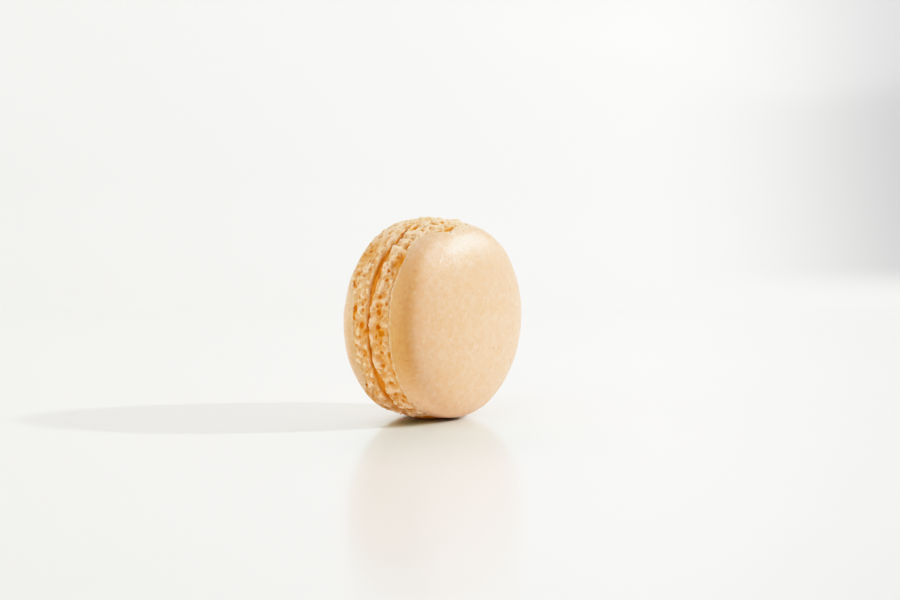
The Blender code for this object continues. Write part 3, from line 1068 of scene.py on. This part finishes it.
def grain_bump(tree, grain, place, scale, pinholes, strength, distance):
    """The surface's normal with fine baked grain in it."""
    source = place_group(tree, grain, Vector=place, Grain_Scale=scale, Pinholes=pinholes)
    inputs = {"Height": source["Height"], "Strength": strength, "Distance": distance}
    return add_node(tree, "Bump", inputs)["Normal"]


def crust_material(specks, grain):
    """Smooth satin almond crust, a little browner towards its edge, partly as painted shade, with a
    painted highlight on its rim.
    """
    material, tree, shader, place, mottle = speckled_material(
        "almond_crust",
        specks,
        Ground=(0.815, 0.51, 0.328, 1.0),
        Pale=(0.86, 0.62, 0.47, 1.0),
        Toasted=(0.79, 0.42, 0.2, 1.0),
        Grain_Scale=1000.0,
        Strength=0.68,
    )
    # Browning near the edge, with painted shade
    tone = blend_colours(tree, value_of(tree, "toast"), mottle["Color"], BROWNED_SHADED_CRUST, "MULTIPLY")
    # Painted highlight on the crust's rim
    tone = blend_colours(tree, value_of(tree, "rim"), tone, PAINTED_RIM_HIGHLIGHT)
    shine = clouds(tree, place, 900.0, detail=3.0)["Fac"]
    set_finish(
        shader,
        Base_Color=tone,
        Roughness=between(tree, shine, low=0.18, high=0.47),
        Normal=grain_bump(tree, grain, place, 2300.0, pinholes=0.6, strength=0.8, distance=0.13 * MM),
        Subsurface_Weight=0.35,
        Subsurface_Radius=(1.0, 0.65, 0.4),
        Subsurface_Scale=0.0014,
        Specular_IOR_Level=0.75,
        Sheen_Weight=0.15,
        Sheen_Roughness=0.5,
    )
    return material


def crumb_material(specks, grain):
    """Open crumb of the foot: cream where it stands out, partly a painted highlight, deep orange down in
    its holes, partly painted shade.
    """
    material, tree, shader, place, mottle = speckled_material(
        "almond_crumb",
        specks,
        Ground=(0.74, 0.425, 0.21, 1.0),
        Pale=(0.81, 0.545, 0.34, 1.0),
        Toasted=(0.74, 0.4, 0.15, 1.0),
        Grain_Scale=1500.0,
        Strength=0.75,
    )
    # Painted shade down in the holes, and a painted highlight on the crests
    hollow = value_of(tree, "hollow")
    halfway = ramp(tree, hollow, low=0.05, high=0.55)
    deep = ramp(tree, hollow, low=0.35, high=0.95)
    crest = times(tree, value_of(tree, "crest"), 0.9)
    tone = blend_colours(tree, crest, mottle["Color"], PALE_LIT_CREST)
    tone = blend_colours(tree, halfway, tone, ORANGE_SHADED_HOLLOW)
    tone = blend_colours(tree, deep, tone, ORANGE_SHADED_PIT)
    set_finish(
        shader,
        Base_Color=tone,
        Roughness=0.8,
        Normal=grain_bump(tree, grain, place, 4200.0, pinholes=1.0, strength=0.85, distance=0.23 * MM),
        Subsurface_Weight=0.45,
        Subsurface_Radius=(1.0, 0.6, 0.3),
        Subsurface_Scale=0.0012,
        Specular_IOR_Level=0.3,
    )
    return material


def filling_material(specks, grain):
    """Orange filling, moist and slightly uneven."""
    material, tree, shader, place, mottle = speckled_material(
        "orange_filling",
        specks,
        Ground=(0.67, 0.24, 0.004, 1.0),
        Pale=(0.77, 0.33, 0.02, 1.0),
        Toasted=(0.62, 0.21, 0.005, 1.0),
        Grain_Scale=1200.0,
        Strength=0.5,
    )
    set_finish(
        shader,
        Base_Color=mottle["Color"],
        Roughness=between(tree, mottle["Grains"], low=0.42, high=0.6),
        Normal=grain_bump(tree, grain, place, 1800.0, pinholes=0.3, strength=0.5, distance=0.2 * MM),
        Subsurface_Weight=0.4,
        Subsurface_Radius=(1.0, 0.4, 0.1),
        Subsurface_Scale=0.001,
        Specular_IOR_Level=0.35,
    )
    return material


def patch(tree, place, middle, size):
    """1 in the middle of a soft round patch of this half size, 0 outside."""
    away = add_node(tree, "VectorMath", {0: place, 1: middle}, operation="SUBTRACT")[0]
    away = add_node(tree, "VectorMath", {0: away, 1: size}, operation="DIVIDE")[0]
    away = add_node(tree, "VectorMath", {0: away}, operation="LENGTH")["Value"]
    return ramp(tree, away, low=1.0, high=0.0)


def table_material():
    """White lacquered table top that turns up into the wall. Only the camera sees its patches of painted
    shade and reflection.
    """
    material, tree, shader, place = new_material("pale_table")
    cloud = clouds(tree, place, 3.0, detail=2.0)["Fac"]
    tone = blend_colours(tree, cloud, TABLE_CREAM, TABLE_WHITE)
    right = (cos(CAMERA_HEADING), -sin(CAMERA_HEADING), 0.0)
    aside = add_node(tree, "VectorMath", {0: place, 1: right}, operation="DOT_PRODUCT")["Value"]
    height = add_node(tree, "SeparateXYZ", {"Vector": place})["Z"]
    # Painted shade low on the wall, far to the right
    wall_shade = times(tree, ramp(tree, aside, *WALL_SHADE_ASIDE), ramp(tree, height, *WALL_SHADE_HEIGHT))
    tone = blend_colours(tree, wall_shade, tone, WALL_SHADE_COLOUR)
    seen = add_node(tree, "LightPath")["Is Camera Ray"]
    # Patches of painted shade and reflection, for camera rays only
    for middle, size, depth, shade_colour in (PAINTED_SHADE_AND_REFLECTION, PAINTED_CONTACT_SHADE):
        share = times(tree, times(tree, patch(tree, place, middle, size), depth), seen)
        tone = blend_colours(tree, share, tone, shade_colour)
    gloss = between(tree, cloud, low=0.14, high=0.2)
    set_finish(shader, Base_Color=tone, Roughness=gloss, Specular_IOR_Level=0.45)
    return material


def make_backdrop(material):
    """The table and wall: one sheet, flat, then a quarter circle up, then upright."""
    ahead = Vector((sin(CAMERA_HEADING), cos(CAMERA_HEADING), 0.0))
    right = Vector((ahead.y, -ahead.x, 0.0))
    profile = [(-FLOOR_BEFORE, 0.0)]
    for turn in np.linspace(0, pi / 2, COVE_ROWS):
        forward = FLOOR_BEHIND + COVE_RADIUS * sin(turn)
        profile.append((forward, COVE_RADIUS * (1 - cos(turn))))
    profile.append((FLOOR_BEHIND + COVE_RADIUS, WALL_HEIGHT))
    vertices = []
    for forward, height in profile:
        for across in (-FLOOR_HALF_WIDTH, FLOOR_HALF_WIDTH):
            vertices.append(ahead * forward + right * across + Vector((0.0, 0.0, height)))
    faces = [(2 * k, 2 * k + 1, 2 * k + 3, 2 * k + 2) for k in range(len(profile) - 1)]
    to_object("table_and_wall", np.array(vertices), faces, material)


def add_camera():
    data = bpy.data.cameras.new("camera")
    data.sensor_width = CAMERA_FILM
    data.lens = CAMERA_LENS
    data.clip_start = CAMERA_NEAREST
    camera = into_scene("camera", data)
    camera.location = CAMERA_PLACE
    camera.rotation_euler = (pi / 2 - CAMERA_DIP, 0.0, -CAMERA_HEADING)
    bpy.context.scene.camera = camera


def add_lamps():
    """The lamps, each turned towards the cookie's middle."""
    for name, shape, azimuth, elevation, distance, width, height, power, left_out in LAMPS:
        data = bpy.data.lights.new(name, "AREA")
        data.shape = shape
        data.size = width
        data.size_y = height
        data.energy = power
        away = Vector((0.0, -cos(radians(elevation)), sin(radians(elevation))))
        away.rotate(Euler((0.0, 0.0, radians(azimuth))))
        light = into_scene(name, data)
        light.location = Vector((0.0, 0.0, AXIS_HEIGHT)) + away * distance
        light.rotation_euler = away.to_track_quat("Z", "Y").to_euler()
        light.visible_camera = False
        for rays in left_out:
            setattr(light, "visible_" + rays, False)


def add_room_light():
    """Soft light from above and from the left. The camera sees the room as plain white."""
    world = bpy.data.worlds.new("soft_room")
    world.use_nodes = True
    bpy.context.scene.world = world
    tree = world.node_tree
    way = add_node(tree, "TexCoord")["Generated"]
    beside = (sin(ROOM_SIDE_AZIMUTH), -cos(ROOM_SIDE_AZIMUTH), 0.0)
    light = 0.0
    for side, strength in ((beside, ROOM_SIDE), ((0.0, 0.0, 1.0), ROOM_ABOVE)):
        facing = add_node(tree, "VectorMath", {0: way, 1: side}, operation="DOT_PRODUCT")["Value"]
        facing = maths(tree, "MAXIMUM", facing, 0.0)
        share = times(tree, times(tree, facing, facing), strength)
        light = maths(tree, "ADD", share, light)
    seen = add_node(tree, "LightPath")["Is Camera Ray"]
    strength = add_node(tree, "Mix", {"Factor": seen, 2: light, 3: ROOM_SEEN}, data_type="FLOAT")[0]
    set_finish(tree.nodes["Background"], Color=(1.0, 1.0, 1.0, 1.0), Strength=strength)


def set_film():
    """The film's curve, the same for red, green and blue."""
    settings = bpy.context.scene.view_settings
    settings.view_transform = "Standard"
    settings.use_curve_mapping = True
    mapping = settings.curve_mapping
    mapping.white_level = (FILM_WHITE,) * 3
    curve = mapping.curves[3]
    for k in range(1, FILM_POINTS):
        share = (k / FILM_POINTS) ** FILM_POINTS_CROWD
        light = share * FILM_WHITE
        curve.points.new(share, 1 - exp(-((light * FILM_SPEED) ** FILM_CONTRAST)))
    mapping.update()


def main():
    specks = almond_specks_group()
    grain = crumb_grain_group()
    crust_finish = crust_material(specks, grain)
    crumb_finish = crumb_material(specks, grain)
    front, back = Shell(0), Shell(1)
    for shell in (front, back):
        for piece in (make_crust(shell, crust_finish), make_foot(shell, crumb_finish)):
            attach(piece, "root")
            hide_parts(shell.name + "_shell")
    filling = make_filling(front, back, filling_material(specks, grain))
    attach(filling, "root")
    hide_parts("filling")
    make_backdrop(table_material())
    add_camera()
    add_lamps()
    add_room_light()
    set_film()


main()
